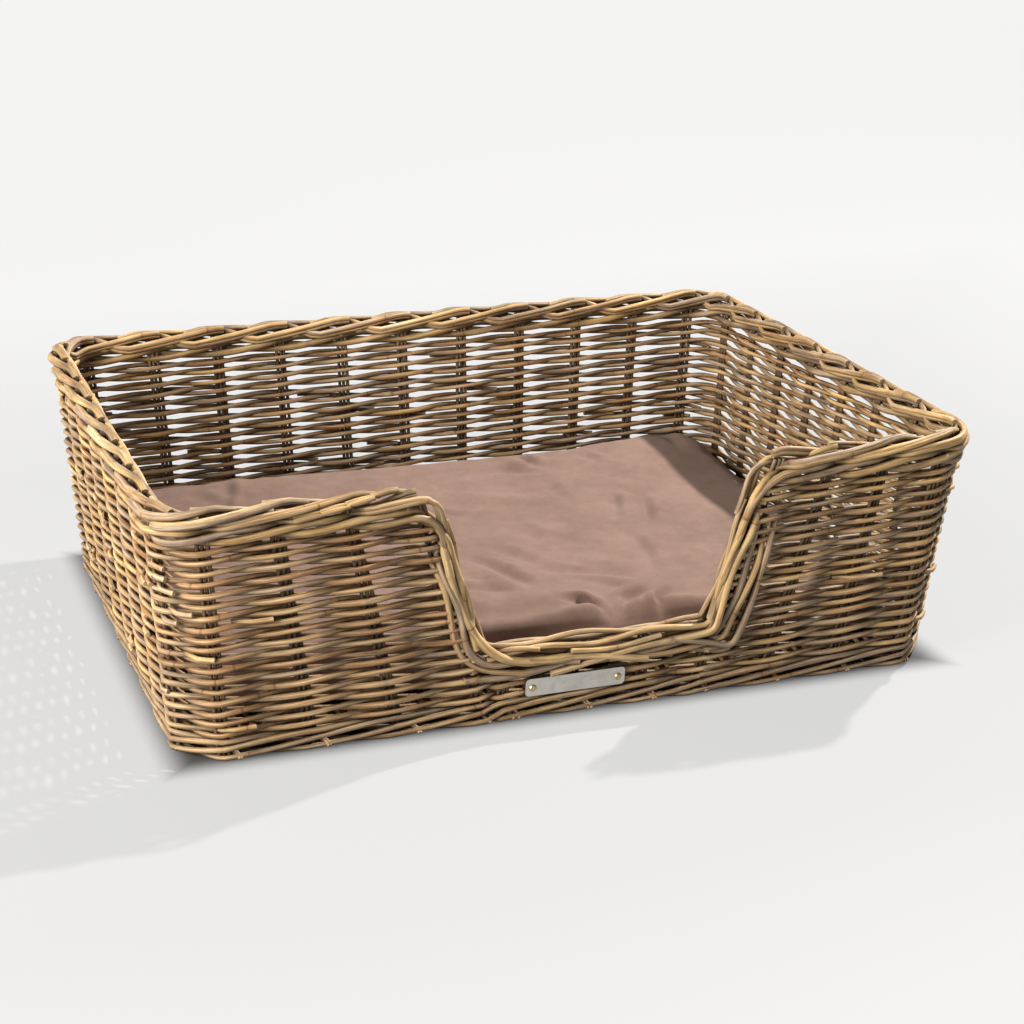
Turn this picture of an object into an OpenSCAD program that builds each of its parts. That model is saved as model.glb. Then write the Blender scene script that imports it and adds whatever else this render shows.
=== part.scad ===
// Rectangular wicker pet bed basket with a low entrance and a lift-out cushion.
// Millimetres. Origin on the floor under the middle of the basket, front towards -Y, up is +Z.
// Every wall is three layers deep: an outer strand of weaver, the stakes, an inner strand.

/* [Basket] */
// Outer width across the rim, left to right
rim_width = 800; // [700:10:900]
// Outer depth across the rim, front to back
rim_depth = 600; // [520:10:680]
// Height of the rim's top above the floor
rim_height = 245; // [220:5:280]
// Outer width across the foot border
foot_width = 756; // [660:2:860]
// Outer depth across the foot border
foot_depth = 552; // [480:2:640]
// How far each rounded corner is drawn in along both walls
corner_cut = 36; // [28:1:60]

/* [Entrance] */
// Middle of the entrance, measured to the right of the basket's middle
entrance_x = 10; // [-40:1:40]
// Clear width of the entrance at the sill
entrance_low = 218; // [180:2:280]
// Clear width of the entrance at the rim
entrance_high = 310; // [280:5:420]
// Height of the sill's top above the floor
sill_height = 83; // [76:1:92]

/* [Rods] */
// Diameter of the thin rods woven round the walls
weaver_dia = 5.2; // [4:0.2:5.4]
// Height from one woven row to the next
row_pitch = 10.4; // [10:0.2:14]
// Diameter of one upright stake rod
stake_dia = 5; // [4:0.2:5.4]
// Widest spacing of the stake pairs along a wall
stake_pitch = 68; // [50:1:90]
// Diameter of the thick rods in the rim, sill and entrance borders
border_dia = 9; // [7:0.2:9.2]
// Diameter of the rods in the foot border
foot_dia = 8; // [7:0.2:8.4]
// Diameter of the thick sticks in the base
base_stick_dia = 8; // [6:0.2:9]
// Number of sticks across the base
base_stick_count = 11; // [7:2:15]
// Diameter of the rods woven over and under the base sticks
base_weaver_dia = 5; // [4:0.2:5.4]
// Spacing of the rods woven over and under the base sticks
base_weaver_pitch = 14; // [12:0.5:24]

/* [Name plate] */
// Width of the blank metal plate on the sill
plate_width = 98; // [60:1:120]
// Height of the plate
plate_height = 18; // [14:0.5:18]
// Thickness of the plate
plate_thickness = 0.8; // [0.6:0.1:1.2]
// Distance between the two rivets
rivet_spacing = 84; // [46:1:106]
// Diameter of the domed rivet heads
rivet_head_dia = 7; // [5:0.5:8]

/* [Cushion] */
// Thickness of the filled cushion
cushion_height = 56; // [40:1:58]
// Gap between the cushion and the wall at floor level
cushion_gap = 5; // [4:1:15]
// Corner radius of the cushion seen from above
cushion_corner = 60; // [60:1:90]
// Thickness of the cover cloth
cover_thickness = 1; // [0.8:0.1:2]

/* [Hidden] */
$fn = 32;
rod_gap = 0.4;

// Layer offsets from the middle of the stakes
weaver_off = (stake_dia + weaver_dia) / 2 + rod_gap;
border_off = (stake_dia + border_dia) / 2 + rod_gap;
foot_off = (stake_dia + foot_dia) / 2 + rod_gap;
frame_off = (stake_dia + base_stick_dia) / 2 + rod_gap;

// Rim, sill and foot borders: rods stacked on both sides of the stakes, one more along the top
border_step = border_dia + rod_gap;
cap_rise = sqrt(pow(border_step, 2) - pow(border_off - 1, 2));
rim_top_z = rim_height - border_dia / 2 - cap_rise;
rim_levels = 3;
sill_top_z = sill_height - border_dia / 2 - cap_rise;
sill_levels = 3;
foot_step = foot_dia + 0.3;
foot_low_z = foot_dia / 2 - 0.4;
foot_levels = 3;
foot_top = foot_low_z + 2 * foot_step + foot_dia / 2;
rim_under = rim_top_z - (rim_levels - 1) * border_step - border_dia / 2;
sill_under = sill_top_z - (sill_levels - 1) * border_step - border_dia / 2;

// Woven rows between the foot border and the rim
first_row_z = foot_top + weaver_dia / 2 + 1;
row_count = floor((rim_under - weaver_dia / 2 - rod_gap - first_row_z) / row_pitch) + 1;
sill_row_count = floor((sill_under - weaver_dia / 2 - rod_gap - first_row_z) / row_pitch) + 1;

// Middle of the stake layer, as a half size that grows with height
foot_half = [foot_width / 2 - foot_off - foot_dia / 2, foot_depth / 2 - foot_off - foot_dia / 2];
rim_half = [rim_width / 2 - border_off - border_dia / 2, rim_depth / 2 - border_off - border_dia / 2];
flare = [for (i = [0, 1]) (rim_half[i] - foot_half[i]) / (rim_top_z - foot_low_z)];
function half(z) = [for (i = [0, 1]) foot_half[i] + flare[i] * (z - foot_low_z)];

// Base layers
base_low_z = 8;
stick_z = base_low_z + (base_weaver_dia + base_stick_dia) / 2 + 0.3;
base_high_z = stick_z + (base_weaver_dia + base_stick_dia) / 2 + 0.3;
base_clear = [for (i = [0, 1]) half(base_low_z)[i] - frame_off - base_stick_dia / 2 - rod_gap];
base_row_count = floor((base_clear[0] - 10) / base_weaver_pitch);

// Entrance: distance of its clear edge from its middle, at a height
entrance_slope = (entrance_high - entrance_low) / 2 / (rim_height - sill_height);
function edge_x(z) = entrance_low / 2 + entrance_slope * (z - sill_height);
edge_width = 2 * border_step;
edge_lean = atan(entrance_slope);
wall_lean = atan(flare[1]);

// Cushion
cushion_low = base_high_z + base_weaver_dia / 2 + 0.4;
cushion_half = [for (i = [0, 1]) half(cushion_low)[i] - weaver_off - weaver_dia / 2 - cushion_gap];

// Plate
plate_z = foot_top + plate_height / 2 + 0.3;
plate_y = half(plate_z)[1] + weaver_off + weaver_dia / 2 + 0.3;
plate_x = -8;
rivet_z = first_row_z + row_pitch / 2;
shank_dia = 3;
washer_y = half(first_row_z)[1] - weaver_off - weaver_dia / 2 - 0.3;

// A straight round rod between two points
module rod(a, b, dia) {
    v = b - a;
    translate(a)
        rotate([0, acos(v[2] / norm(v)), atan2(v[1], v[0])])
            cylinder(h = norm(v), d = dia);
}

// Point on a wall: along it, out from the middle of its stakes, and up
function on_wall(side, along, out, z) =
    side == "front" ? [along, -half(z)[1] - out, z] :
    side == "back" ? [along, half(z)[1] + out, z] :
    side == "left" ? [-half(z)[0] - out, along, z] :
    [half(z)[0] + out, along, z];

// Half length of the straight stretch of a level rod on a wall
function straight(side, out, z) =
    (side == "front" || side == "back" ? half(z)[0] : half(z)[1]) + out - corner_cut;

// Level rod from one place along a wall to another
module wall_rod(side, from, to, out, z, dia) {
    rod(on_wall(side, from, out, z), on_wall(side, to, out, z), dia);
}

// Level rod along the whole straight stretch of a wall
module full_rod(side, out, z, dia) {
    reach = straight(side, out, z);
    wall_rod(side, -reach, reach, out, z, dia);
}

// Short level rod across each of the four corners
module corner_rods(out, z, dia) {
    end = half(z) + [out, out];
    trim = (dia / 2 + 0.5) / sqrt(2);
    for (x = [-1, 1])
        for (y = [-1, 1])
            rod([x * (end[0] - corner_cut + trim), y * (end[1] - trim), z],
                [x * (end[0] - trim), y * (end[1] - corner_cut + trim), z], dia);
}

function row_z(k) = first_row_z + k * row_pitch;
function rim_z(k) = rim_top_z - k * border_step;
function sill_z(k) = sill_top_z - k * border_step;
function foot_z(k) = foot_low_z + k * foot_step;

// Woven rows along a whole wall, in one layer
module wall_rows(side, out) {
    for (k = [0 : row_count - 1])
        full_rod(side, out, row_z(k), weaver_dia);
}

// Woven rows on one side of the entrance, sign -1 for the left and 1 for the right
module front_rows(sign, out) {
    for (k = [0 : row_count - 1]) {
        z = row_z(k);
        near = entrance_x + sign * (edge_x(z) + edge_width + weaver_dia);
        wall_rod("front", near, sign * straight("front", out, z), out, z, weaver_dia);
    }
}

// Woven rows below the sill
module sill_rows(out) {
    for (k = [0 : sill_row_count - 1]) {
        reach = edge_x(row_z(k)) - 1;
        wall_rod("front", entrance_x - reach, entrance_x + reach, out, row_z(k), weaver_dia);
    }
}

// Pair of stake rods side by side
module stake_pair(side, along, low, high) {
    for (s = [-1, 1]) {
        x = along + s * (stake_dia + rod_gap) / 2;
        rod(on_wall(side, x, 0, low), on_wall(side, x, 0, high), stake_dia);
    }
}

// Stake pairs spread evenly between two places on a wall
module stakes(side, from, to, high) {
    count = round((to - from) / stake_pitch);
    for (i = [0 : count - 1])
        stake_pair(side, from + (i + 0.5) * (to - from) / count, 2, high);
}

// Thick border rods on both sides of the stakes, with a rod along the top
module rim_rods(side, from_trim, from_sign) {
    for (k = [0 : rim_levels - 1])
        for (out = [-border_off, border_off])
            rim_rod(side, from_trim, from_sign, out, rim_z(k));
    rim_rod(side, from_trim, from_sign, 0, rim_top_z + cap_rise);
}

// One rim rod: whole wall when sign is 0, else from the entrance to the corner on that side
module rim_rod(side, near, sign, out, z) {
    if (sign == 0)
        full_rod(side, out, z, border_dia);
    else
        wall_rod(side, entrance_x + sign * near, sign * straight(side, out, z), out, z, border_dia);
}

// Foot border rods, the lowest one flattened where it stands on the floor
module foot_rods(side) {
    difference() {
        for (k = [0 : foot_levels - 1])
            full_rod(side, foot_off, foot_z(k), foot_dia);
        floor_cut();
    }
}

module floor_cut() {
    translate([-rim_width, -rim_depth, -10])
        cube([2 * rim_width, 2 * rim_depth, 10]);
}

// Rods that run down one side of the entrance, from under the rim to the foot border
module entrance_edge(sign) {
    low = foot_top + 2;
    high = rim_under - 2;
    for (i = [0, 1]) {
        for (out = [-border_off, border_off])
            edge_rod(sign, (i + 0.5) * border_step, out, low, high, border_dia);
        edge_rod(sign, (i + 0.5) * border_step, 0, low, high, stake_dia);
    }
}

module edge_rod(sign, in, out, low, high, dia) {
    shift = in / cos(edge_lean);
    rod(on_wall("front", entrance_x + sign * (edge_x(low) + shift), out, low),
        on_wall("front", entrance_x + sign * (edge_x(high) + shift), out, high), dia);
}

// Filled cushion shape: a slab with fully rounded edges, shrunk by an amount all round
module pillow(shrink) {
    r = cushion_height / 2 - shrink;
    turn = cushion_corner - cushion_height / 2;
    translate([0, 0, cushion_low + cushion_height / 2])
        hull()
            for (x = [-1, 1])
                for (y = [-1, 1])
                    translate([x * (cushion_half[0] - cushion_corner), y * (cushion_half[1] - cushion_corner), 0])
                        rotate_extrude($fn = 24)
                            translate([turn, 0])
                                circle(r = r, $fn = 20);
}

// Half space above or below the cushion's seam
module half_space(sign) {
    seam = cushion_low + cushion_height / 2;
    translate([-rim_width, -rim_depth, sign > 0 ? seam + 0.1 : seam - 0.1 - rim_height])
        cube([2 * rim_width, 2 * rim_depth, rim_height]);
}

module base_frame() {
    color("peru") {
        for (side = ["front", "back", "left", "right"])
            full_rod(side, -frame_off, stick_z, base_stick_dia);
        corner_rods(-frame_off, stick_z, base_stick_dia);
    }
}

module base_sticks() {
    color("burlywood")
        for (i = [0 : base_stick_count - 1]) {
            y = base_clear[1] * ((2 * i + 1) / base_stick_count - 1);
            x = base_clear[0] - max(0, abs(y) + corner_cut - base_clear[1]);
            rod([-x, y, stick_z], [x, y, stick_z], base_stick_dia);
        }
}

// Rods laid across the sticks, the lower ones half a step along from the upper ones
module base_rows(z, shift) {
    for (i = [-base_row_count : base_row_count - 1]) {
        x = (i + 0.5 + shift) * base_weaver_pitch;
        y = base_clear[1] - max(0, abs(x) + corner_cut - base_clear[0]) - 2;
        if (abs(x) < base_clear[0] - base_weaver_dia)
            rod([x, -y, z], [x, y, z], base_weaver_dia);
    }
}

module base_weave_upper() {
    color("tan")
        base_rows(base_high_z, 0);
}

module base_weave_lower() {
    color("darkkhaki")
        base_rows(base_low_z, 0.5);
}

module foot_border_front() {
    color("sienna")
        foot_rods("front");
}

module foot_border_back() {
    color("sienna")
        foot_rods("back");
}

module foot_border_left() {
    color("sienna")
        foot_rods("left");
}

module foot_border_right() {
    color("sienna")
        foot_rods("right");
}

module foot_border_corners() {
    color("saddlebrown")
        difference() {
            for (k = [0 : foot_levels - 1])
                corner_rods(foot_off, foot_z(k), foot_dia);
            floor_cut();
        }
}

module stakes_back() {
    color("goldenrod")
        stakes("back", -foot_half[0] + corner_cut, foot_half[0] - corner_cut, rim_top_z);
}

module stakes_left() {
    color("goldenrod")
        stakes("left", -foot_half[1] + corner_cut, foot_half[1] - corner_cut, rim_top_z);
}

module stakes_right() {
    color("goldenrod")
        stakes("right", -foot_half[1] + corner_cut, foot_half[1] - corner_cut, rim_top_z);
}

module stakes_front_left() {
    near = entrance_x - edge_x(rim_under) - edge_width - weaver_dia;
    color("goldenrod")
        stakes("front", -foot_half[0] + corner_cut, near, rim_top_z);
}

module stakes_front_right() {
    near = entrance_x + edge_x(rim_under) + edge_width + weaver_dia;
    color("goldenrod")
        stakes("front", near, foot_half[0] - corner_cut, rim_top_z);
}

module stakes_sill() {
    each_side = floor((edge_x(foot_top) - weaver_dia - abs(plate_x - entrance_x)) / stake_pitch);
    color("goldenrod")
        for (i = [-each_side : each_side])
            stake_pair("front", plate_x + i * stake_pitch, 2, sill_top_z);
}

module corner_posts() {
    color("darkgoldenrod")
        for (x = [-1, 1])
            for (y = [-1, 1])
                for (i = [-1 : 1]) {
                    low = half(2) - [corner_cut / 2, corner_cut / 2];
                    high = half(rim_top_z) - [corner_cut / 2, corner_cut / 2];
                    slide = i * (stake_dia + rod_gap) / sqrt(2);
                    rod([x * (low[0] + slide), y * (low[1] - slide), 2],
                        [x * (high[0] + slide), y * (high[1] - slide), rim_top_z], stake_dia);
                }
}

module weave_back_outer() {
    color("tan")
        wall_rows("back", weaver_off);
}

module weave_back_inner() {
    color("rosybrown")
        wall_rows("back", -weaver_off);
}

module weave_left_outer() {
    color("tan")
        wall_rows("left", weaver_off);
}

module weave_left_inner() {
    color("rosybrown")
        wall_rows("left", -weaver_off);
}

module weave_right_outer() {
    color("tan")
        wall_rows("right", weaver_off);
}

module weave_right_inner() {
    color("rosybrown")
        wall_rows("right", -weaver_off);
}

module weave_front_left_outer() {
    color("tan")
        front_rows(-1, weaver_off);
}

module weave_front_left_inner() {
    color("rosybrown")
        front_rows(-1, -weaver_off);
}

module weave_front_right_outer() {
    color("tan")
        front_rows(1, weaver_off);
}

module weave_front_right_inner() {
    color("rosybrown")
        front_rows(1, -weaver_off);
}

module weave_sill_outer() {
    color("tan")
        sill_rows(weaver_off);
}

module weave_sill_inner() {
    color("rosybrown")
        sill_rows(-weaver_off);
}

module weave_corners_outer() {
    color("burlywood")
        for (k = [0 : row_count - 1])
            corner_rods(weaver_off, row_z(k), weaver_dia);
}

module weave_corners_inner() {
    color("rosybrown")
        for (k = [0 : row_count - 1])
            corner_rods(-weaver_off, row_z(k), weaver_dia);
}

module rim_back() {
    color("peru")
        rim_rods("back", 0, 0);
}

module rim_left() {
    color("peru")
        rim_rods("left", 0, 0);
}

module rim_right() {
    color("peru")
        rim_rods("right", 0, 0);
}

module rim_front_left() {
    color("peru")
        rim_rods("front", edge_x(rim_height), -1);
}

module rim_front_right() {
    color("peru")
        rim_rods("front", edge_x(rim_height), 1);
}

module rim_corners() {
    color("chocolate") {
        for (k = [0 : rim_levels - 1])
            for (out = [-border_off, border_off])
                corner_rods(out, rim_z(k), border_dia);
        corner_rods(0, rim_top_z + cap_rise, border_dia);
    }
}

module entrance_edge_left() {
    color("peru")
        entrance_edge(-1);
}

module entrance_edge_right() {
    color("peru")
        entrance_edge(1);
}

module sill_border() {
    color("chocolate") {
        for (k = [0 : sill_levels - 1])
            for (out = [-border_off, border_off])
                sill_rod(out, sill_z(k));
        sill_rod(0, sill_top_z + cap_rise);
    }
}

module sill_rod(out, z) {
    reach = edge_x(z - border_dia / 2) - 0.5;
    wall_rod("front", entrance_x - reach, entrance_x + reach, out, z, border_dia);
}

module name_plate() {
    corner = 4;
    color("silver")
        translate([plate_x, -plate_y, plate_z])
            rotate([90 + wall_lean, 0, 0])
                difference() {
                    linear_extrude(height = plate_thickness)
                        difference() {
                            union() {
                                square([plate_width - 2 * corner, plate_height], center = true);
                                square([plate_width, plate_height - 2 * corner], center = true);
                                for (x = [-1, 1])
                                    for (y = [-1, 1])
                                        translate([x * (plate_width / 2 - corner), y * (plate_height / 2 - corner)])
                                            circle(r = corner);
                            }
                            for (x = [-1, 1])
                                translate([x * rivet_spacing / 2, rivet_z - plate_z])
                                    circle(d = shank_dia + 0.4);
                        }
                }
}

module plate_rivets() {
    head_y = plate_y + plate_thickness + 0.1 + rivet_head_dia / 2 * flare[1];
    shank = head_y - washer_y + 1.6;
    color("goldenrod")
        for (x = [-1, 1])
            translate([plate_x + x * rivet_spacing / 2, -head_y, rivet_z])
                rotate([-90, 0, 0]) {
                    translate([0, 0, -1.4])
                        cylinder(h = 1.4, d1 = rivet_head_dia - 2, d2 = rivet_head_dia);
                    cylinder(h = shank, d = shank_dia);
                }
}

module rivet_washers() {
    color("darkgoldenrod")
        for (x = [-1, 1])
            translate([plate_x + x * rivet_spacing / 2, -washer_y, rivet_z])
                rotate([-90, 0, 0])
                    difference() {
                        cylinder(h = 0.8, d = rivet_head_dia + 2);
                        translate([0, 0, -1])
                            cylinder(h = 3, d = shank_dia + 0.3);
                    }
}

module cushion_cover_top() {
    color("rosybrown")
        intersection() {
            difference() {
                pillow(0);
                pillow(cover_thickness);
            }
            half_space(1);
        }
}

module cushion_cover_bottom() {
    color("gray")
        intersection() {
            difference() {
                pillow(0);
                pillow(cover_thickness);
            }
            half_space(-1);
        }
}

module cushion_fill() {
    color("whitesmoke")
        pillow(cover_thickness + 1);
}

base_frame();
base_sticks();
base_weave_upper();
base_weave_lower();
foot_border_front();
foot_border_back();
foot_border_left();
foot_border_right();
foot_border_corners();
stakes_back();
stakes_left();
stakes_right();
stakes_front_left();
stakes_front_right();
stakes_sill();
corner_posts();
weave_back_outer();
weave_back_inner();
weave_left_outer();
weave_left_inner();
weave_right_outer();
weave_right_inner();
weave_front_left_outer();
weave_front_left_inner();
weave_front_right_outer();
weave_front_right_inner();
weave_sill_outer();
weave_sill_inner();
weave_corners_outer();
weave_corners_inner();
rim_back();
rim_left();
rim_right();
rim_front_left();
rim_front_right();
rim_corners();
entrance_edge_left();
entrance_edge_right();
sill_border();
name_plate();
plate_rivets();
rivet_washers();
cushion_cover_top();
cushion_cover_bottom();
cushion_fill();
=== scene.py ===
import math
import random

import bmesh
import bpy
import numpy as np
from mathutils import Matrix, Vector


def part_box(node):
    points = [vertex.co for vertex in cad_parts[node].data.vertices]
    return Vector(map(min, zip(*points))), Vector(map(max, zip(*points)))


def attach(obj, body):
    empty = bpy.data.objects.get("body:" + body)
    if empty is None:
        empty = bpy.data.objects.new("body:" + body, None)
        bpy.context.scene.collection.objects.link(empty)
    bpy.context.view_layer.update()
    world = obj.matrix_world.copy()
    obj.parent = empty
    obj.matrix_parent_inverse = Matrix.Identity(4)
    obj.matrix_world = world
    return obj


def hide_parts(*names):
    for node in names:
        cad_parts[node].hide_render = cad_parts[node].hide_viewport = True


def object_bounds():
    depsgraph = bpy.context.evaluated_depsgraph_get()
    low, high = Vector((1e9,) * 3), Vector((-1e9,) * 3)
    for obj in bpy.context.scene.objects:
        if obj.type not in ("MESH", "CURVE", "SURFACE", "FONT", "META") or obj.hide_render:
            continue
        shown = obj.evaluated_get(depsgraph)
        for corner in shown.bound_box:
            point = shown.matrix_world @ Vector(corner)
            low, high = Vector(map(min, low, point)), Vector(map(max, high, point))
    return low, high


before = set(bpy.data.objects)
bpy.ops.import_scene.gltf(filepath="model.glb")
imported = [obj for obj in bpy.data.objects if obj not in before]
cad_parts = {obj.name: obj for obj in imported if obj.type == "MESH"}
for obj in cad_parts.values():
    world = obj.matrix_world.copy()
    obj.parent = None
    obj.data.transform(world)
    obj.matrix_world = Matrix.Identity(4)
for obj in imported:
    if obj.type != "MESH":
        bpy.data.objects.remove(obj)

cad_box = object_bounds()

# ---- sizes, in metres
MM = 0.001
RIM_X, RIM_Y, RIM_Z = cad_box[1][0], cad_box[1][1], cad_box[1][2]
FOOT_X = -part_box("foot_border_left")[0][0]
FOOT_Y = -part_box("foot_border_front")[0][1]
FOOT_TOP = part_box("foot_border_front")[1][2]
SILL_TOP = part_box("sill_border")[1][2]
SILL_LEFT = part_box("sill_border")[0][0]
SILL_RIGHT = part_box("sill_border")[1][0]
GATE_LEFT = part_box("rim_front_left")[1][0]
GATE_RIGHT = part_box("rim_front_right")[0][0]
GATE_X = (GATE_LEFT + GATE_RIGHT) / 2
ROW_STEP = 10.4 * MM
WEAVER = 5.2 * MM
THIN_WEAVER = 4.7 * MM
FIRST_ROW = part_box("weave_sill_outer")[0][2] + WEAVER / 2
STAKE = 4.8 * MM
STAKE_ROD = 4.1 * MM
WALE_CANE = 7.4 * MM
FOOT_CANE = 5.4 * MM
ROLL_CANE = 5.6 * MM
HOOP_CANE = 7.2 * MM
CORNER_CUT = 34 * MM
RIM_BAND = 11.9 * MM
FOOT_BAND = 10.9 * MM
POST_INSET = 22 * MM
GATE_SLOPE = (GATE_RIGHT - SILL_RIGHT) / (RIM_Z - SILL_TOP)
GATE_LEAN = math.atan(GATE_SLOPE)
SILL_STAKES = (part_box("stakes_sill")[0][0] + STAKE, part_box("stakes_sill")[1][0] - STAKE)

# Stakes are numbered anticlockwise from the right post of the entrance, with two at each corner
CORNERS = (3, 4, 11, 12, 22, 23, 30, 31)
OPEN_SPAN = 34
SILL_SPACES = 4
FULL_SPAN = OPEN_SPAN + SILL_SPACES
STEPS = 8  # points in each stake space


# ---- node arithmetic
class Num:
    """A value inside a node tree: ordinary arithmetic on it adds the math nodes."""

    def __init__(self, tree, socket):
        self.tree, self.socket = tree, socket

    def _math(self, kind, *others):
        node = self.tree.nodes.new("ShaderNodeMath")
        node.operation = kind
        for slot, value in zip(node.inputs, (self,) + others):
            plug(self.tree, value, slot)
        return Num(self.tree, node.outputs[0])

    def __add__(self, other): return self._math("ADD", other)
    def __sub__(self, other): return self._math("SUBTRACT", other)
    def __mul__(self, other): return self._math("MULTIPLY", other)
    def __truediv__(self, other): return self._math("DIVIDE", other)
    def __mod__(self, other): return self._math("FLOORED_MODULO", other)
    __radd__, __rmul__ = __add__, __mul__
    def __rsub__(self, other): return self._math("MULTIPLY", -1.0)._math("ADD", other)
    def floor(self): return self._math("FLOOR")
    def round(self): return self._math("ROUND")
    def sin(self): return self._math("SINE")
    def cos(self): return self._math("COSINE")
    def abs(self): return self._math("ABSOLUTE")
    def min(self, other): return self._math("MINIMUM", other)
    def max(self, other): return self._math("MAXIMUM", other)
    def below(self, other): return self._math("LESS_THAN", other)
    def above(self, other): return self._math("GREATER_THAN", other)

    def map(self, a, b, c, d, smooth=False):
        """From the range a..b to the range c..d, held at its ends."""
        node = self.tree.nodes.new("ShaderNodeMapRange")
        node.interpolation_type = "SMOOTHSTEP" if smooth else "LINEAR"
        for slot, value in zip(node.inputs, (self, a, b, c, d)):
            plug(self.tree, value, slot)
        return Num(self.tree, node.outputs[0])


def plug(tree, value, slot):
    if isinstance(value, Num):
        tree.links.new(value.socket, slot)
    elif hasattr(value, "is_output"):
        tree.links.new(value, slot)
    else:
        slot.default_value = value


def add(tree, kind, settings=None, **values):
    """A new node with its settings, and its inputs plugged by their identifiers."""
    node = tree.nodes.new(kind)
    for key, value in (settings or {}).items():
        setattr(node, key, value)
    slots = {s.identifier: s for s in node.inputs}
    for key, value in values.items():
        plug(tree, value, slots[key])
    return node


def vector(tree, x, y, z):
    return add(tree, "ShaderNodeCombineXYZ", X=x, Y=y, Z=z).outputs[0]


def axes(tree, value):
    """The x, y and z of a vector."""
    node = add(tree, "ShaderNodeSeparateXYZ", Vector=value)
    return [Num(tree, socket) for socket in node.outputs]


def vmath(tree, kind, a, b=None, scale=None):
    node = add(tree, "ShaderNodeVectorMath", {"operation": kind}, Vector=a)
    if b is not None:
        plug(tree, b, node.inputs[1])
    if scale is not None:
        plug(tree, scale, node.inputs["Scale"])
    return node.outputs[0]


def chance(tree, ident, seed, low=0.0, high=1.0):
    """A random number for each ident."""
    node = add(tree, "FunctionNodeRandomValue", {"data_type": "FLOAT"}, ID=ident)
    plug(tree, low, node.inputs[2])
    plug(tree, high, node.inputs[3])
    plug(tree, seed, node.inputs["Seed"])
    return Num(tree, node.outputs[1])


def wander(tree, along, ident, scale, size, seed):
    """A smooth random drift from -size to size along a rod."""
    place = vector(tree, along * scale, ident * 7.31, seed)
    node = add(tree, "ShaderNodeTexNoise", {"noise_dimensions": "3D"}, Vector=place, Scale=1.0, Detail=1.0)
    return (Num(tree, node.outputs[0]) - 0.5) * (4.0 * size)


def new_object(name, data):
    thing = bpy.data.objects.new(name, data)
    bpy.context.collection.objects.link(thing)
    return thing


def new_tree(name, sizes):
    """A Geometry Nodes tree with one geometry input, named number inputs and a geometry output."""
    tree = bpy.data.node_groups.new(name, "GeometryNodeTree")
    tree.interface.new_socket("Geometry", in_out="INPUT", socket_type="NodeSocketGeometry")
    for label, value in sizes.items():
        kind = "NodeSocketInt" if isinstance(value, int) else "NodeSocketFloat"
        tree.interface.new_socket(label, in_out="INPUT", socket_type=kind).default_value = value
    tree.interface.new_socket("Geometry", in_out="OUTPUT", socket_type="NodeSocketGeometry")
    source = tree.nodes.new("NodeGroupInput")
    inputs = {s.name: Num(tree, s) for s in source.outputs if s.name}
    return tree, inputs, tree.nodes.new("NodeGroupOutput")


# ---- cane sweeping
def store(tree, geometry, name, value, kind="FLOAT"):
    settings = {"data_type": kind, "domain": "POINT"}
    node = add(tree, "GeometryNodeStoreNamedAttribute", settings, Geometry=geometry, Name=name)
    plug(tree, value, node.inputs["Value"])
    return node.outputs[0]


def named(tree, name, kind="FLOAT"):
    return add(tree, "GeometryNodeInputNamedAttribute", {"data_type": kind}, Name=name).outputs[0]


def sweep(tree, curves, radius, sides, material):
    """Round cane along curves: stores how far along and how far round each point is, and where the cut tips are."""
    spline = tree.nodes.new("GeometryNodeSplineParameter")
    curves = store(tree, curves, "along", spline.outputs["Length"])
    ends = Num(tree, spline.outputs["Factor"])
    tips = (ends.below(0.0001) + ends.above(0.9999)).min(1.0)
    curves = store(tree, curves, "tip", tips)
    ring = add(tree, "GeometryNodeCurvePrimitiveCircle", {"mode": "RADIUS"}, Resolution=sides, Radius=1.0).outputs[0]
    ring = store(tree, ring, "around", tree.nodes.new("GeometryNodeInputPosition").outputs[0], "FLOAT_VECTOR")
    swept = add(tree, "GeometryNodeCurveToMesh", Curve=curves, Scale=radius)
    plug(tree, ring, swept.inputs["Profile Curve"])
    plug(tree, True, swept.inputs["Fill Caps"])
    angle = Num(tree, tree.nodes.new("GeometryNodeInputMeshEdgeAngle").outputs[0])
    soft = add(tree, "GeometryNodeSetShadeSmooth", {"domain": "FACE"}, Geometry=swept.outputs[0])
    plug(tree, True, soft.inputs["Shade Smooth"])
    crisp = add(tree, "GeometryNodeSetShadeSmooth", {"domain": "EDGE"}, Geometry=soft.outputs[0])
    plug(tree, angle.above(1.0), crisp.inputs["Selection"])
    plug(tree, False, crisp.inputs["Shade Smooth"])
    whole = add(tree, "GeometryNodeRealizeInstances", Geometry=crisp.outputs[0])
    return add(tree, "GeometryNodeSetMaterial", Geometry=whole.outputs[0], Material=material).outputs[0]


def on_wall(tree, guide, space, out, height, along=None):
    """A place in the wall: its stake space, distance out from the stakes, height, and shift along the wall."""
    index = (space * STEPS).round() % (FULL_SPAN * STEPS)

    def sample(value):
        node = tree.nodes.new("GeometryNodeSampleIndex")
        node.data_type, node.domain = "FLOAT_VECTOR", "POINT"
        plug(tree, guide, node.inputs["Geometry"])
        plug(tree, value, node.inputs["Value"])
        plug(tree, index, node.inputs["Index"])
        return node.outputs[0]

    floor_place = sample(tree.nodes.new("GeometryNodeInputPosition").outputs[0])
    lean = sample(named(tree, "lean", "FLOAT_VECTOR"))
    outward = sample(named(tree, "outward", "FLOAT_VECTOR"))
    place = vmath(tree, "ADD", floor_place, vmath(tree, "SCALE", lean, scale=height))
    place = vmath(tree, "ADD", place, vmath(tree, "SCALE", outward, scale=out))
    if along is not None:
        ahead = vmath(tree, "CROSS_PRODUCT", (0.0, 0.0, 1.0), outward)
        place = vmath(tree, "ADD", place, vmath(tree, "SCALE", ahead, scale=along))
    return vmath(tree, "ADD", place, vector(tree, 0.0, 0.0, height))


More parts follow.
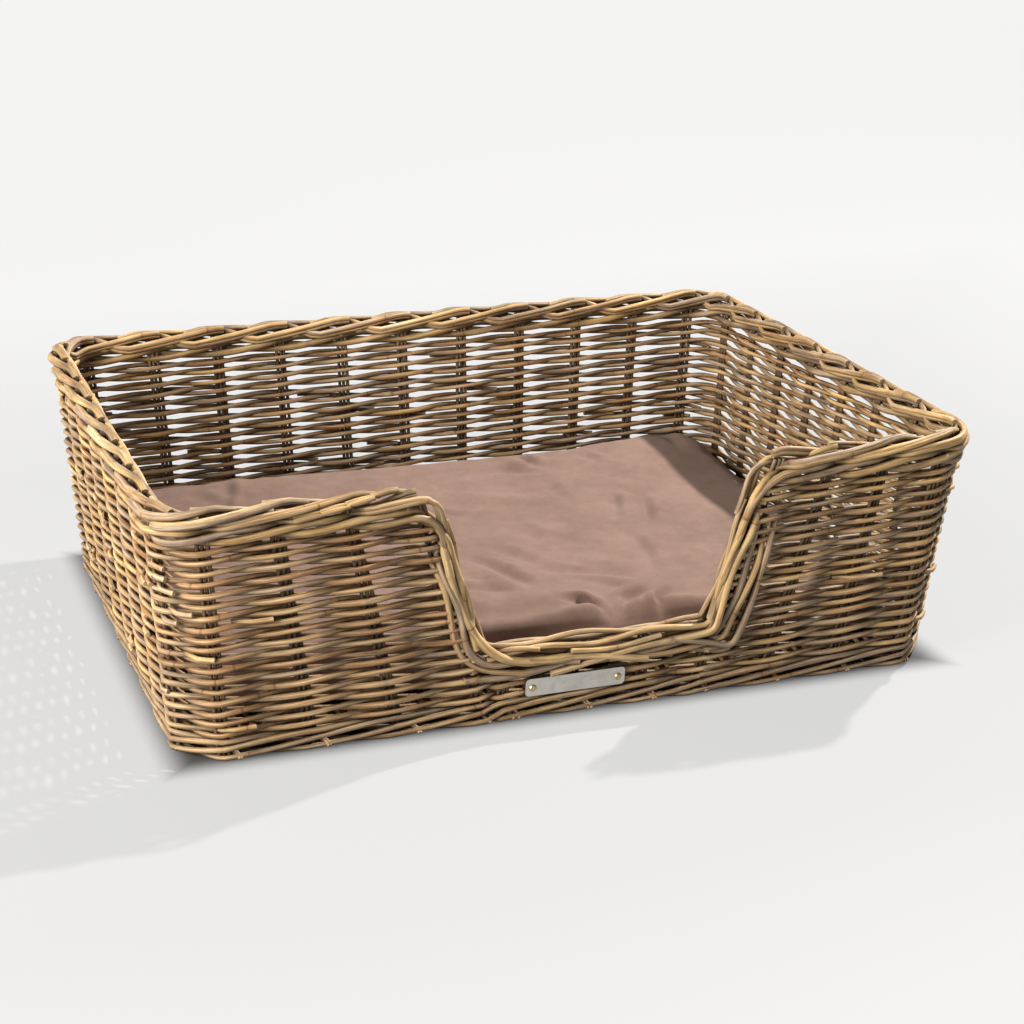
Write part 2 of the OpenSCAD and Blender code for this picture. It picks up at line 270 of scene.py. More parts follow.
def strands(name, rods, steps, sizes, shape, material, sides=8):
    """Rods of cane laid in the wall. shape(tree, inputs, rod, step) gives each point's
    (space, out, height, along, radius, rod number for its tone)."""
    tree, inputs, output = new_tree(name, sizes)
    count = rods * steps
    points = add(tree, "GeometryNodePoints", Count=count, Radius=1.0).outputs[0]
    index = Num(tree, tree.nodes.new("GeometryNodeInputIndex").outputs[0])
    rod = ((index + 0.5) / steps).floor()
    step = index - rod * steps
    space, out, height, along, radius, ident = shape(tree, inputs, rod, step)
    tone = chance(tree, ident, 11)
    place = on_wall(tree, inputs["Geometry"], space, out, height, along)
    moved = add(tree, "GeometryNodeSetPosition", Geometry=points, Position=place).outputs[0]
    moved = store(tree, moved, "tone", tone)
    moved = store(tree, moved, "thick", radius)
    # how far a point stands out from the line of the stakes; the cane material darkens points near that line as
    # painted shade
    moved = store(tree, moved, "proud", (out.abs() / inputs["Cane size"]).min(1.0))
    curves = tree.nodes.new("GeometryNodePointsToCurves")
    plug(tree, moved, curves.inputs["Points"])
    plug(tree, rod, curves.inputs["Curve Group ID"])
    plug(tree, step, curves.inputs["Weight"])
    thick = named(tree, "thick")
    plug(tree, sweep(tree, curves.outputs[0], thick, sides, material), output.inputs[0])
    return grow(name, tree, sizes, guide_mesh)


def lines_mesh(name, lines):
    """Guide mesh of open polylines: each line is (points, radii, tone)."""
    mesh = bpy.data.meshes.new(name)
    verts, edges, radii, tones = [], [], [], []
    for points, thick, tone in lines:
        start = len(verts)
        verts += [tuple(p) for p in points]
        edges += [(start + i, start + i + 1) for i in range(len(points) - 1)]
        radii += list(thick)
        tones += [tone] * len(points)
    mesh.from_pydata(verts, edges, [])
    for label, values in (("thick", radii), ("tone", tones), ("proud", [1.0] * len(radii))):
        mesh.attributes.new(label, "FLOAT", "POINT").data.foreach_set("value", values)
    return mesh


def cane_along(name, lines, material, spacing=5 * MM, sides=10):
    """Round cane swept along given lines."""
    sizes = {"Ring spacing": spacing}
    tree, inputs, output = new_tree(name, sizes)
    curves = add(tree, "GeometryNodeMeshToCurve", Mesh=inputs["Geometry"]).outputs[0]
    smooth = tree.nodes.new("GeometryNodeCurveSplineType")
    smooth.spline_type = "CATMULL_ROM"
    plug(tree, curves, smooth.inputs[0])
    even = tree.nodes.new("GeometryNodeResampleCurve")
    even.mode = "LENGTH"
    plug(tree, smooth.outputs[0], even.inputs["Curve"])
    plug(tree, inputs["Ring spacing"], even.inputs["Length"])
    thick = named(tree, "thick")
    plug(tree, sweep(tree, even.outputs[0], thick, sides, material), output.inputs[0])
    return grow(name, tree, sizes, lines_mesh(name + "_lines", lines))


def grow(name, tree, sizes, mesh):
    """Runs a tree on a mesh and returns the result as a plain object."""
    host = new_object(name + "_host", mesh)
    modifier = host.modifiers.new("Build", "NODES")
    modifier.node_group = tree
    for item in tree.interface.items_tree:
        if item.item_type == "SOCKET" and item.in_out == "INPUT" and item.name in sizes:
            modifier[item.identifier] = sizes[item.name]
    bpy.context.view_layer.update()
    ready = host.evaluated_get(bpy.context.evaluated_depsgraph_get())
    result = bpy.data.meshes.new_from_object(ready)
    host.modifiers.remove(modifier)
    bpy.data.objects.remove(host)
    result.name = name
    return new_object(name, result)


# ---- the wall's guide
def ring(half_x, half_y, bulge, left_post, right_post):
    """Points at every eighth of a stake space round a rectangle with cut corners, which bulge out a little."""
    near_x, near_y = half_x - CORNER_CUT, half_y - CORNER_CUT
    marks = [0, *CORNERS, OPEN_SPAN, *range(OPEN_SPAN + 1, FULL_SPAN), FULL_SPAN]
    middle = sum(SILL_STAKES) / 2
    xs = [right_post, near_x, half_x, half_x, near_x, -near_x, -half_x, -half_x, -near_x, left_post,
          SILL_STAKES[0], middle, SILL_STAKES[1], right_post]
    ys = [-half_y, -half_y, -near_y, near_y, half_y, half_y, near_y, -near_y] + [-half_y] * 6
    spaces = np.arange(FULL_SPAN * STEPS) / STEPS
    points = np.stack([np.interp(spaces, marks, xs), np.interp(spaces, marks, ys)], axis=1)
    for start in CORNERS[::2]:
        inside = (spaces > start) & (spaces < start + 1)
        part = spaces[inside] - start
        away = np.sign(points[inside]) / math.sqrt(2)
        points[inside] += away * (bulge * 4 * part * (1 - part))[:, None]
    return points


def wall_guide():
    """Stake line at floor level, with the way it leans out for each metre of height and its outward direction."""
    gate = [((SILL_RIGHT - SILL_LEFT) / 2 - GATE_SLOPE * SILL_TOP) + POST_INSET]
    gate.append(gate[0] + GATE_SLOPE * RIM_Z)
    foot = ring(FOOT_X - FOOT_BAND, FOOT_Y - FOOT_BAND, 2 * MM, GATE_X - gate[0], GATE_X + gate[0])
    rim = ring(RIM_X - RIM_BAND, RIM_Y - RIM_BAND, 9 * MM, GATE_X - gate[1], GATE_X + gate[1])
    ahead = np.roll(rim, -2, axis=0) - np.roll(rim, 2, axis=0)
    ahead /= np.linalg.norm(ahead, axis=1, keepdims=True)
    mesh = bpy.data.meshes.new("wall_guide")
    mesh.from_pydata([(x, y, 0) for x, y in foot], [], [])
    level = np.zeros((len(foot), 1))
    lean = np.hstack([(rim - foot) / RIM_Z, level])
    outward = np.hstack([ahead[:, 1:], -ahead[:, :1], level])
    for label, values in (("lean", lean), ("outward", outward)):
        mesh.attributes.new(label, "FLOAT_VECTOR", "POINT").data.foreach_set("vector", values.ravel())
    return mesh


guide_mesh = wall_guide()
guide_floor = np.array([v.co[:] for v in guide_mesh.vertices])
guide_lean = np.array([d.vector[:] for d in guide_mesh.attributes["lean"].data])
guide_out = np.array([d.vector[:] for d in guide_mesh.attributes["outward"].data])


def wall_point(space, out, height):
    """The same place as on_wall, for lines laid in the script."""
    at = (space * STEPS) % (FULL_SPAN * STEPS)
    i = int(at)
    f = at - i
    j = (i + 1) % (FULL_SPAN * STEPS)
    floor_place = guide_floor[i] * (1 - f) + guide_floor[j] * f
    lean = guide_lean[i] * (1 - f) + guide_lean[j] * f
    outward = guide_out[i] * (1 - f) + guide_out[j] * f
    return Vector(floor_place + lean * height + outward * out) + Vector((0, 0, height))


# ---- materials
def new_material(name):
    material = bpy.data.materials.new(name)
    material.use_nodes = True
    tree = material.node_tree
    return material, tree, tree.nodes["Principled BSDF"]


def mix_colour(tree, factor, a, b, kind="MIX"):
    node = add(tree, "ShaderNodeMix", {"data_type": "RGBA", "blend_type": kind})
    plug(tree, factor, node.inputs[0])
    for value, slot in ((a, node.inputs[6]), (b, node.inputs[7])):
        plug(tree, value if hasattr(value, "is_output") else (*value, 1.0), slot)
    return node.outputs[2]


def ramp(tree, factor, stops):
    node = tree.nodes.new("ShaderNodeValToRGB")
    node.color_ramp.interpolation = "LINEAR"
    elements = node.color_ramp.elements
    while len(elements) < len(stops):
        elements.new(0.5)
    for element, (place, colour) in zip(elements, stops):
        element.position = place
        element.color = (*colour, 1.0)
    plug(tree, factor, node.inputs[0])
    return node.outputs[0]


def attribute(tree, name, vector_out=False):
    node = tree.nodes.new("ShaderNodeAttribute")
    node.attribute_name = name
    return node.outputs["Vector"] if vector_out else Num(tree, node.outputs["Fac"])


def noise(tree, place, scale, detail=2.0, roughness=0.5):
    node = add(tree, "ShaderNodeTexNoise", Vector=place, Scale=scale, Detail=detail, Roughness=roughness)
    return Num(tree, node.outputs[0])


TAN, GOLD, PALE = (0.36, 0.225, 0.105), (0.50, 0.31, 0.115), (0.60, 0.455, 0.28)
MAUVE, RUSSET, UMBER = (0.25, 0.175, 0.122), (0.27, 0.132, 0.052), (0.11, 0.06, 0.028)


def cane(name, stops, dark=1.0):
    """Peeled kubu cane: each rod has its own tone, with fine lengthways grain, dark node rings, pale cut tips and
    random mottling, plus painted light on the upper sides of rods and painted shade on their undersides, in the
    recesses of the wall and where rods lie close together.
    """
    material, tree, shader = new_material(name)
    along, tone, tip = attribute(tree, "along"), attribute(tree, "tone"), attribute(tree, "tip")
    round_x, round_y, _ = axes(tree, attribute(tree, "around", True))
    seed = tone * 173.0
    grain = noise(tree, vector(tree, along * 26.0, round_x * 2.4 + seed, round_y * 2.4), 1.0, 4.0, 0.62)
    fibre = noise(tree, vector(tree, along * 60.0, round_x * 9.0 + seed, round_y * 9.0), 1.0, 3.0, 0.6)
    patch = noise(tree, vector(tree, along * 7.0, seed, 0.0), 1.0, 2.0, 0.5)
    shade = ramp(tree, tone * 0.8 + patch * 0.45 - 0.12, stops)
    worn = mix_colour(tree, grain.map(0.45, 0.75, 0.0, 0.7), shade, PALE)
    worn = mix_colour(tree, grain.map(0.5, 0.28, 0.0, 0.8), worn, UMBER)
    worn = mix_colour(tree, fibre.map(0.45, 0.25, 0.0, 0.7), worn, UMBER)
    # node rings: one at uneven gaps along each rod
    gap = 0.29
    turn = (along + seed * 0.37 + wander_material(tree, along, seed)) / gap
    beat = (turn % 1.0 - 0.5).abs() * gap
    ring_line = beat.map(0.0005, 0.0013, 1.0, 0.0)
    ring_band = beat.map(0.002, 0.012, 0.5, 0.0)
    ringed = mix_colour(tree, ring_band, worn, RUSSET)
    ringed = mix_colour(tree, ring_line * 0.5, ringed, (0.06, 0.036, 0.02))
    ended = mix_colour(tree, tip.map(0.5, 1.0, 0.0, 0.6), ringed, (0.46, 0.34, 0.2))
    # painted light and shade: the upward-facing side of a rod is made lighter and its underside darker
    facing_up = axes(tree, tree.nodes.new("ShaderNodeNewGeometry").outputs["Normal"])[2]
    place = tree.nodes.new("ShaderNodeTexCoord").outputs["Object"]
    painted_light_and_mottle = facing_up.map(-0.9, 0.6, 0.45, 1.15)
    # painted shade: where a rod lies back near the line of the stakes it is darker, and where it stands proud it is
    # lighter
    painted_light_and_mottle = painted_light_and_mottle * attribute(tree, "proud").map(0.0, 0.9, 0.55, 1.05)
    painted_light_and_mottle = painted_light_and_mottle * noise(tree, place, 16.0, 4.0, 0.6).map(0.3, 0.7, 0.72, 1.25) * dark
    # painted shade where rods lie close together: ambient occlusion darkens the colour there and makes it browner
    nook = Num(tree, add(tree, "ShaderNodeAmbientOcclusion", {"samples": 6}, Distance=14 * MM).outputs["AO"])
    painted_light_and_mottle = painted_light_and_mottle * nook.map(0.1, 0.85, 0.16, 1.08)
    painted_light_and_mottle_rgb = vector(tree, painted_light_and_mottle, painted_light_and_mottle * nook.map(0.0, 0.7, 0.86, 1.0), painted_light_and_mottle * nook.map(0.0, 0.7, 0.7, 1.0))
    tinted = mix_colour(tree, 1.0, ended, painted_light_and_mottle_rgb, "MULTIPLY")
    plug(tree, tinted, shader.inputs["Base Color"])
    plug(tree, fibre.map(0.2, 0.8, 0.44, 0.66), shader.inputs["Roughness"])
    shader.inputs["Specular IOR Level"].default_value = 0.28
    bump = add(tree, "ShaderNodeBump", Strength=0.35, Distance=0.0006)
    plug(tree, fibre * 0.5 + grain * 0.5 - ring_line * 1.2, bump.inputs["Height"])
    plug(tree, bump.outputs[0], shader.inputs["Normal"])
    return material


def wander_material(tree, along, seed):
    return (noise(tree, vector(tree, along * 3.0, seed, 3.0), 1.0, 1.0) - 0.5) * 0.12


cane_weave = cane("cane_weave", [
    (0.0, UMBER), (0.18, RUSSET), (0.36, TAN), (0.55, MAUVE), (0.74, TAN), (0.9, GOLD), (1.0, PALE)])
cane_border = cane("cane_border", [
    (0.0, RUSSET), (0.2, TAN), (0.42, MAUVE), (0.6, TAN), (0.8, GOLD), (1.0, PALE)], 0.88)
cane_foot = cane("cane_foot", [
    (0.0, UMBER), (0.25, TAN), (0.45, MAUVE), (0.7, TAN), (0.9, MAUVE), (1.0, GOLD)], 0.82)
cane_stake = cane("cane_stake", [(0.0, UMBER), (0.4, RUSSET), (0.7, TAN), (1.0, MAUVE)], 0.9)


def cushion_cloth():
    """Brushed cotton twill: fine diagonal weave, soft mottling and a faint sheen."""
    material, tree, shader = new_material("cushion_cotton")
    place = tree.nodes.new("ShaderNodeTexCoord").outputs["Object"]
    mottled = noise(tree, place, 14.0, 4.0, 0.6)
    thread = add(tree, "ShaderNodeTexWave", {"wave_type": "BANDS", "bands_direction": "DIAGONAL"}, Vector=place,
                 Scale=380.0, Distortion=1.2, Detail=2.0)
    slub = noise(tree, place, 900.0, 2.0)
    cloudy = mottled * 0.6 + noise(tree, place, 70.0, 5.0, 0.65) * 0.4
    colour = mix_colour(tree, cloudy.map(0.36, 0.64, 0.0, 1.0), (0.150, 0.091, 0.070), (0.220, 0.139, 0.108))
    colour = mix_colour(tree, slub.map(0.35, 0.65, 0.0, 0.3), colour, (0.09, 0.054, 0.04))
    plug(tree, colour, shader.inputs["Base Color"])
    shader.inputs["Roughness"].default_value = 0.86
    shader.inputs["Specular IOR Level"].default_value = 0.12
    shader.inputs["Sheen Weight"].default_value = 0.08
    shader.inputs["Sheen Roughness"].default_value = 0.5
    bump = add(tree, "ShaderNodeBump", Strength=0.4, Distance=0.0005)
    plug(tree, Num(tree, thread.outputs["Fac"]) * 0.6 + slub * 0.6, bump.inputs["Height"])
    plug(tree, bump.outputs[0], shader.inputs["Normal"])
    return material


def brushed_metal(name, colour, rough):
    """Metal brushed along X, with small scratches and dull spots."""
    material, tree, shader = new_material(name)
    place = tree.nodes.new("ShaderNodeTexCoord").outputs["Object"]
    x, _, z = axes(tree, place)
    lines = noise(tree, vector(tree, x * 60.0, 0.0, z * 4200.0), 1.0, 3.0)
    dull = noise(tree, place, 90.0, 3.0)
    tarnished = tuple(0.62 * c for c in colour)
    plug(tree, mix_colour(tree, dull.map(0.4, 0.75, 0.0, 0.6), colour, tarnished), shader.inputs["Base Color"])
    shader.inputs["Metallic"].default_value = 1.0
    plug(tree, lines * 0.2 + dull * 0.15 + (rough - 0.15), shader.inputs["Roughness"])
    bump = add(tree, "ShaderNodeBump", Strength=0.15, Distance=0.0002)
    plug(tree, lines, bump.inputs["Height"])
    plug(tree, bump.outputs[0], shader.inputs["Normal"])
    return material


plate_metal = brushed_metal("plate_metal", (0.60, 0.57, 0.52), 0.42)
rivet_brass = brushed_metal("rivet_brass", (0.50, 0.38, 0.23), 0.46)


def paint(node, material):
    """Gives a CAD node's object a material."""
    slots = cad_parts[node].material_slots
    for one in slots:
        one.material = material
    if not slots:
        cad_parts[node].data.materials.append(material)


# ---- woven walls
HOOK = 5  # points by which a row's ends turn back behind the posts


def pairing(span, wrap):
    """Two strands a row, twisting round the stakes half a turn for each space."""

    def shape(tree, inputs, rod, step):
        row = ((rod + 0.1) / 2).floor()
        strand = rod - row * 2.0
        raw = (step - (HOOK if wrap else 0)) / STEPS
        space = raw.max(0.0).min(float(span))
        over = (raw - space) * STEPS
        turn = over * 0.62
        phase = (space + strand) * math.pi
        swell = 1.0 + wander(tree, space, rod, 1.3, 0.06, 5.0)
        size = inputs["Cane size"] * chance(tree, rod, 3, 0.82, 1.12) * swell
        reach = (inputs["Cane size"] + inputs["Stake size"]) / 2
        out = reach * phase.cos() * turn.cos() + wander(tree, space, rod, 0.9, 0.5 * MM, 1.0)
        height = (inputs["First row"] + row * inputs["Row step"] + phase.sin() * inputs["Cane size"] * 0.34
                  + wander(tree, space, rod, 0.8, 1.2 * MM, 2.0) + chance(tree, row, 8, -0.9 * MM, 0.9 * MM)
                  + over.abs() * phase.cos() * 0.5 * MM)
        along = turn.sin() * 8.0 * MM
        return space, out, height, along, size / 2, rod * 3.0 + (space * 0.11 + chance(tree, rod, 21)).floor()

    return shape


def row_sizes(first, size=WEAVER):
    first_z = FIRST_ROW + first * ROW_STEP
    return {"First row": first_z, "Row step": ROW_STEP, "Cane size": size, "Stake size": STAKE}


def weave(name, first, rows, span, wrap, size=WEAVER):
    steps = span * STEPS + 1 + (2 * HOOK if wrap else 0)
    return strands(name, 2 * rows, steps, row_sizes(first, size), pairing(span, wrap), cane_weave)


LOW_ROWS, MID_ROWS, TOP_ROWS = 2, 8, 8
ALL_ROWS = LOW_ROWS + MID_ROWS + TOP_ROWS
weave_low = weave("weave_below_sill", 0, LOW_ROWS, FULL_SPAN, False, THIN_WEAVER)
weave_mid = weave("weave_lower_rows", LOW_ROWS, MID_ROWS, OPEN_SPAN, True)
weave_top = weave("weave_upper_rows", LOW_ROWS + MID_ROWS, TOP_ROWS, OPEN_SPAN, True)


# ---- stakes
def stake_shape(rods_each, first_space, levels):
    def shape(tree, inputs, rod, step):
        stake = ((rod + 0.1) / rods_each).floor()
        side = rod - stake * rods_each - (rods_each - 1) / 2
        space = stake + float(first_space)
        low, high = inputs["Bottom"], inputs["Top"]
        height = low + (high - low) * (step / (levels - 1))
        along = side * inputs["Cane size"] * 1.02 + wander(tree, step, rod, 0.21, 0.7 * MM, 4.0)
        out = wander(tree, step, rod, 0.3, 0.4 * MM, 6.0)
        size = inputs["Cane size"] * chance(tree, rod, 31, 0.86, 1.06)
        return space, out, height, along, size / 2, rod

    return shape


def stakes(name, first, count, top, rods_each=3):
    levels = 14
    sizes = {"Bottom": 5 * MM, "Top": top, "Cane size": STAKE_ROD}
    shape = stake_shape(rods_each, first, levels)
    return strands(name, count * rods_each, levels, sizes, shape, cane_stake)


stakes_wall = stakes("stakes_tall", 0, OPEN_SPAN + 1, RIM_Z - 12 * MM)
stakes_sill = stakes("stakes_under_sill", OPEN_SPAN + 1, SILL_SPACES - 1, SILL_TOP - 12 * MM)


# ---- waling: thick rods round rim and foot
def past_post(over, side, bend):
    """Where a rod goes once it is past an entrance post: round a bend and down beside the opening.
    over is the length past the post, side +1 past the left post and -1 past the right one."""
    full = math.pi / 2 - GATE_LEAN
    angle = (over / bend).min(full)
    rest = (over - bend * full).max(0.0)
    along = (angle.sin() - (1.0 - angle.cos()) * GATE_SLOPE) * bend * side
    drop = (1.0 - angle.cos()) * bend + rest * math.cos(GATE_LEAN)
    return along, drop


def wale_shape(rods, tail):
    """Rods that pass in front of all but one stake in turn, rising as they go; tails run on past the posts."""

    def shape(tree, inputs, rod, step):
        raw = step / STEPS - tail
        space = raw.max(0.25).min(OPEN_SPAN - 0.25) if tail else raw
        phase = (raw + rod) * (2 * math.pi / rods)
        reach = (inputs["Cane size"] + inputs["Stake size"]) / 2
        out = reach * (phase.cos() * 1.7 + 0.75).max(-1.0).min(1.0) + wander(tree, raw, rod, 0.7, 0.7 * MM, 1.0)
        height = inputs["Middle"] + phase.sin() * inputs["Rise"] + wander(tree, raw, rod, 0.6, 0.9 * MM, 2.0)
        size = inputs["Cane size"] * chance(tree, rod, 7, 0.9, 1.08) * (1.0 + wander(tree, raw, rod, 1.1, 0.05, 5.0))
        along = out * 0.0
        if tail:
            over = (raw - space) * 62 * MM
            bend = chance(tree, rod, 14, 0.03, 0.042)
            shift, drop = past_post(over.abs(), 1.0, bend)
            along = shift * (1.0 - over.below(0.0) * 2.0) + wander(tree, raw, rod, 0.9, 1.6 * MM, 9.0)
            height = height - drop
        return space, out, height, along, size / 2, rod * 5.0 + (raw * 0.16 + chance(tree, rod, 27)).floor()

    return shape


def wale(name, rods, middle, rise, size, span, tail, material):
    sizes = {"Middle": middle, "Rise": rise, "Cane size": size, "Stake size": STAKE}
    return strands(name, rods, int((span + 2 * tail) * STEPS) + 1, sizes, wale_shape(rods, tail), material, 10)


rim_wale = wale("rim_waling", 3, RIM_Z - 27 * MM, 5.6 * MM, WALE_CANE, OPEN_SPAN, 2.5, cane_border)
foot_wale = wale("foot_waling", 5, FOOT_TOP / 2 + 0.3 * MM, 8.6 * MM, FOOT_CANE, FULL_SPAN, 0, cane_foot)


# ---- rolled border on the rim
OUTER_STEPS, INNER_STEPS = 20, 17


def outer_roll(tree, inputs, rod, step):
    """Stake ends that come out over the waling, rise to the crest and tuck over it."""
    stake = ((rod + 0.1) / 2).floor()
    twin = rod - stake * 2.0
    u = step / float(OUTER_STEPS)
    raw = stake + step / STEPS * (1.0 - (stake - OPEN_SPAN + 2.0).abs().below(0.5) * 0.24)
    space = raw.min(float(OPEN_SPAN))
    shift, drop = past_post((raw - space) * 66 * MM, 1.0, chance(tree, rod, 14, 0.016, 0.034))
    out = u.map(0.0, 0.14, -1.0, 8.8, True) - u.map(0.45, 1.0, 0.0, 10.5, True) - twin * 1.6
    height = u.map(0.0, 0.86, -21.0, -3.4) - u.map(0.88, 1.0, 0.0, 3.0, True) + twin * (3.6 - 3.4 * u)
    size = inputs["Cane size"] * chance(tree, rod, 5, 0.84, 1.1)
    return (space, out * MM + wander(tree, step, rod, 0.12, 0.6 * MM, 1.0),
            inputs["Crest"] + height.min(-2.9) * MM + wander(tree, step, rod, 0.1, 0.7 * MM, 2.0).min(0.0) - drop,
            shift, size / 2, rod)


def inner_roll(tree, inputs, rod, step):
    """Stake ends that come over the crest the other way, dip inside, then run up to the crest again."""
    stake = ((rod + 0.1) / 2).floor()
    twin = rod - stake * 2.0
    u = step / float(INNER_STEPS)
    raw = stake + 1.0 - step / STEPS
    space = raw.max(0.0)
    shift, drop = past_post((space - raw) * 66 * MM, -1.0, chance(tree, rod, 15, 0.016, 0.034))
    out = u.map(0.0, 0.3, 1.0, -8.6, True) + u.map(0.55, 1.0, 0.0, 5.0, True) + twin * 1.4
    height = u.map(0.0, 0.3, -5.0, -17.0, True) + u.map(0.3, 0.9, 0.0, 13.4) - twin * 3.6
    size = inputs["Cane size"] * chance(tree, rod, 6, 0.86, 1.12)
    return (space, out * MM + wander(tree, step, rod, 0.12, 0.6 * MM, 3.0),
            inputs["Crest"] + height.min(-2.9) * MM + wander(tree, step, rod, 0.1, 0.7 * MM, 4.0).min(0.0) - drop,
            shift, size / 2, rod + 300.0)


roll_sizes = {"Crest": RIM_Z, "Cane size": ROLL_CANE}
rim_outer = strands("rim_roll_outer", 2 * OPEN_SPAN, OUTER_STEPS + 1, roll_sizes, outer_roll, cane_border, 10)
rim_inner = strands("rim_roll_inner", 2 * OPEN_SPAN, INNER_STEPS + 1, roll_sizes, inner_roll, cane_border, 10)


# ---- cut ends that stand out of the weave
def tails(tree, inputs, rod, step):
    """Short ends of finished weavers, which come out from behind a stake and stop."""
    u = step / 4.0
    space = chance(tree, rod, 51, 0.3, OPEN_SPAN - 1.5) + step / STEPS
    row = chance(tree, rod, 52, 0.0, ALL_ROWS - 1.0).floor()
    out = u.map(0.0, 0.6, 0.0, 7.4, True) * MM
    height = inputs["First row"] + (row + 0.34) * ROW_STEP + u * chance(tree, rod, 53, -1.5 * MM, 2.5 * MM)
    return space, out, height, out * 0.0, inputs["Cane size"] * 0.46, rod + 800.0


def stubs(tree, inputs, rod, step):
    """Stake ends cut off just below the foot waling."""
    out = (1.0 + step * 2.1) * MM
    height = (9.0 - step * 1.9) * MM
    along = chance(tree, rod, 61, -5 * MM, 5 * MM) + step * 1.6 * MM
    radius = inputs["Cane size"] * chance(tree, rod, 62, 0.36, 0.5)
    return (rod / 2.0).floor() + 0.125, out, height, along, radius, rod + 900.0


weave_tails = strands("weaver_ends", 64, 5, row_sizes(0), tails, cane_weave)
foot_stubs = strands("stake_ends", 2 * FULL_SPAN, 4, {"Cane size": STAKE}, stubs, cane_stake)


# ---- entrance border
def front_point(x, out, z):
    """A place in the front wall."""
    stake_y = -(FOOT_Y - FOOT_BAND) - (RIM_Y - RIM_BAND - FOOT_Y + FOOT_BAND) * z / RIM_Z
    return Vector((x, stake_y - out, z))


def rounded(corners, radii):
    """Polyline with its corners rounded off."""
    points = [Vector(corners[0])]
    for i in range(1, len(corners) - 1):
        a, b, c = (Vector(corners[k]) for k in (i - 1, i, i + 1))
        r = radii[i - 1]
        p, q = b + (a - b).normalized() * r, b + (c - b).normalized() * r
        points += [p.lerp(b, t).lerp(b.lerp(q, t), t) for t in (0.0, 0.25, 0.5, 0.75, 1.0)]
    return points + [Vector(corners[-1])]


def gate_rods():
    """Thick rods that run down beside the entrance, along the sill and up the other side, with cut ends."""
    lean = Vector((GATE_SLOPE, 1)).normalized()
    sill_z = SILL_TOP - 4 * MM
    rng = random.Random(7)
    lines = []
    # in mm: how far up the left and right sides (or short of the corner, if negative), depth into the wall
    # at the left and right, out from the stakes, thickness; tone; bends at each side
    rods = [
        (134, 122, 0, 0, 1.0, 5.4, 0.55, 10, 4), (128, -172, 3, 8, 5.0, 5.2, 0.62, 14, 0),
        (-8, 126, 9, 3, 5.6, 6.0, 0.80, 0, 4), (-92, -54, 13, 10, 9.0, 5.4, 0.98, 0, 0),
        (-20, -132, 17, 18, 8.6, 5.4, 0.62, 0, 0), (136, -84, 10, 28, 8.6, 8.0, 0.92, 46, 0),
        (-2, 126, 32, 17, 5.0, 7.6, 0.42, 0, 8), (-84, 130, 31, 9, 8.6, 7.0, 0.90, 0, 6),
        (-140, 118, 28, 24, 6.8, 6.4, 0.72, 0, 10), (132, -146, 16, 22, 7.0, 7.0, 0.44, 34, 0),
        (118, -60, 20, 33, 1.6, 6.6, 0.30, 40, 0), (100, 112, 26, 29, -2.0, 6.0, 0.36, 30, 20),
        (132, 124, 4, 6, -5.6, 5.8, 0.50, 16, 5), (126, 120, 15, 14, -6.0, 6.0, 0.60, 22, 8),
        (120, 128, 25, 24, -5.6, 6.0, 0.28, 26, 15), (-190, 130, 13, 32, 8.6, 6.2, 0.34, 0, 12),
        (126, -204, 24, 31, 5.4, 6.2, 0.66, 38, 0), (-120, 108, 20, 34, 2.0, 6.0, 0.52, 0, 14),
    ]
    for left, right, deep_left, deep_right, out, size, tone, left_bend, right_bend in rods:
        low = [Vector((SILL_LEFT - (3 + 0.6 * deep_left) * MM, sill_z - deep_left * MM)),
               Vector((SILL_RIGHT + (3 + 0.95 * deep_right) * MM, sill_z - deep_right * MM))]
        sway = [(rng.uniform(90, 150), rng.uniform(0, 6.28)) for _ in range(3)]
        path = []
        if left > 0:
            path.append(low[0] + Vector((-lean.x, lean.y)) * left * MM)
        path.append(low[0] + Vector((max(0, -left) * MM, 0)))
        path.append(low[1] - Vector((max(0, -right) * MM, 0)))
        if right > 0:
            path.append(low[1] + lean * right * MM)
        bends = ([left_bend * MM] if left > 0 else []) + ([right_bend * MM] if right > 0 else [])
        base = rounded([(*p, 0) for p in path], bends)
        whole = sum((b - a).length for a, b in zip(base, base[1:])) / MM
        points, gone = [], 0.0
        for a, b in zip(base, base[1:]):
            parts = max(1, int((b - a).length / 0.011))
            across = Vector((a.y - b.y, b.x - a.x, 0)).normalized()
            for k in range(parts + (b is base[-1])):
                at = gone + (b - a).length * k / parts / MM
                shift = [math.sin(at / wave * 6.28 + start) for wave, start in sway]
                spot = a.lerp(b, k / parts) + across * 2.3 * MM * shift[0]
                tuck = min(1.0, (at if left > 0 else 99) / 30, (whole - at if right > 0 else 99) / 30)
                points.append(front_point(spot.x, ((out + 1.5 * shift[1]) * tuck - 2.0 * (1 - tuck)) * MM, spot.y))
            gone += (b - a).length / MM
        radii = [size / 2 * MM * (1 + 0.06 * math.sin(k * 0.5 + tone * 9)) for k in range(len(points))]
        lines.append((points, radii, tone))
    return lines


gate_border = cane_along("entrance_border", gate_rods(), cane_border)


